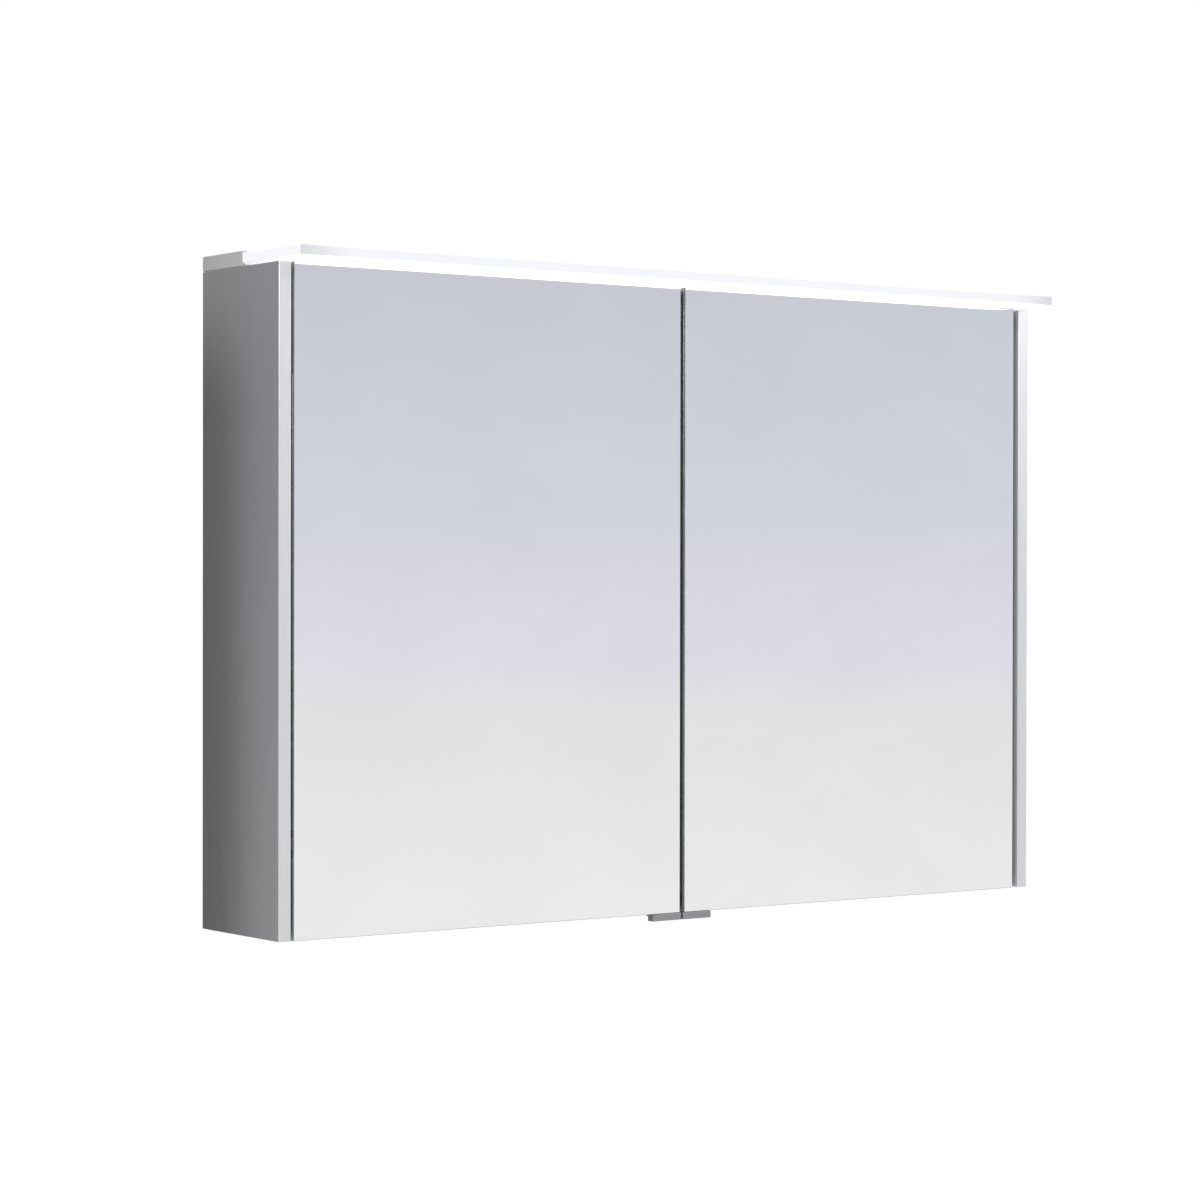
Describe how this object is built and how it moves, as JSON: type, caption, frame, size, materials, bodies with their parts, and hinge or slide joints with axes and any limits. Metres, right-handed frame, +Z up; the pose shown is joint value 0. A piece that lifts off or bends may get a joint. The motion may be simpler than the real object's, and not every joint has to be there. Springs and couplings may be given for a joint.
{
  "type": "medicine cabinet with mirror",
  "caption": "Wall-hung bathroom mirror cabinet: hinged double-mirrored doors over glass shelves, with an edge-lit light panel overhanging the front.",
  "frame": {"origin": "centre of the wall rail's back face, on the wall", "axes": "+X to the right seen from the front, +Y into the wall, +Z up; the doors face -Y"},
  "size_m": [1, 0.1925, 0.6905],
  "materials": {
    "body_board": "satin aluminium-effect skin on board",
    "inside_board": "matt light grey",
    "door_aluminium": "satin anodised",
    "door_core": "silver-grey lacquer",
    "mirror": "polished",
    "shelf_glass": "polished",
    "acrylic": "lit satin acrylic",
    "light_aluminium": "satin anodised",
    "cap_plastic": "moulded, silver grey",
    "grip_metal": "satin anodised",
    "steel": "zinc plated",
    "white_plastic": "moulded",
    "led_board": "white solder mask",
    "rubber": "matt",
    "clear_buffer": "soft"
  },
  "bodies": {
    "cabinet_body": {"side_panel_left": "body_board", "side_panel_right": "body_board", "top_panel": "body_board", "bottom_panel": "body_board", "back_panel": "inside_board", "centre_partition": "inside_board", "wall_rail": "steel", "hanger_left": "steel", "hanger_right": "steel", "wall_spacer_left": "rubber", "wall_spacer_right": "rubber", "shelf_left_lower": "shelf_glass", "shelf_rail_left_lower_outer": "light_aluminium", "shelf_rail_left_lower_inner": "light_aluminium", "shelf_left_upper": "shelf_glass", "shelf_rail_left_upper_outer": "light_aluminium", "shelf_rail_left_upper_inner": "light_aluminium", "shelf_right_lower": "shelf_glass", "shelf_rail_right_lower_outer": "light_aluminium", "shelf_rail_right_lower_inner": "light_aluminium", "shelf_right_upper": "shelf_glass", "shelf_rail_right_upper_outer": "light_aluminium", "shelf_rail_right_upper_inner": "light_aluminium", "light_housing": "light_aluminium", "light_end_cap_left": "cap_plastic", "light_end_cap_right": "cap_plastic", "light_panel": "acrylic", "led_strip": "led_board", "led_driver": "white_plastic", "power_box": "white_plastic", "socket_insert": "white_plastic", "cable_gland": "rubber", "light_lead": "rubber", "hinge_arm_left_lower": "steel", "door_buffer_left_lower": "clear_buffer", "hinge_arm_left_upper": "steel", "door_buffer_left_upper": "clear_buffer", "hinge_arm_right_lower": "steel", "door_buffer_right_lower": "clear_buffer", "hinge_arm_right_upper": "steel", "door_buffer_right_upper": "clear_buffer"},
    "door_left": {"door_mirror_left": "mirror", "door_frame_left": "door_aluminium", "door_core_left": "door_core", "inner_mirror_left": "mirror", "handle_left": "grip_metal", "hinge_leaf_left_lower": "steel", "hinge_pin_left_lower": "steel", "hinge_leaf_left_upper": "steel", "hinge_pin_left_upper": "steel"},
    "door_right": {"door_mirror_right": "mirror", "door_frame_right": "door_aluminium", "door_core_right": "door_core", "inner_mirror_right": "mirror", "handle_right": "grip_metal", "hinge_leaf_right_lower": "steel", "hinge_pin_right_lower": "steel", "hinge_leaf_right_upper": "steel", "hinge_pin_right_upper": "steel"},
    "rocker": {"switch_rocker": "white_plastic"}
  },
  "joints": [
    {"name": "door_left_hinge", "type": "hinge", "parent": "cabinet_body", "child": "door_left", "pos_m": [-0.4775, -0.1425, -0.2665], "axis": [0, 0, -1], "range_deg": [0, 95]},
    {"name": "door_right_hinge", "type": "hinge", "parent": "cabinet_body", "child": "door_right", "pos_m": [0.4775, -0.1425, -0.2665], "axis": [0, 0, 1], "range_deg": [0, 95]},
    {"name": "switch_rock", "type": "hinge", "parent": "cabinet_body", "child": "rocker", "pos_m": [0.454, -0.0513, 0.011], "axis": [1, 0, 0], "range_deg": [0, 12]}
  ]
}
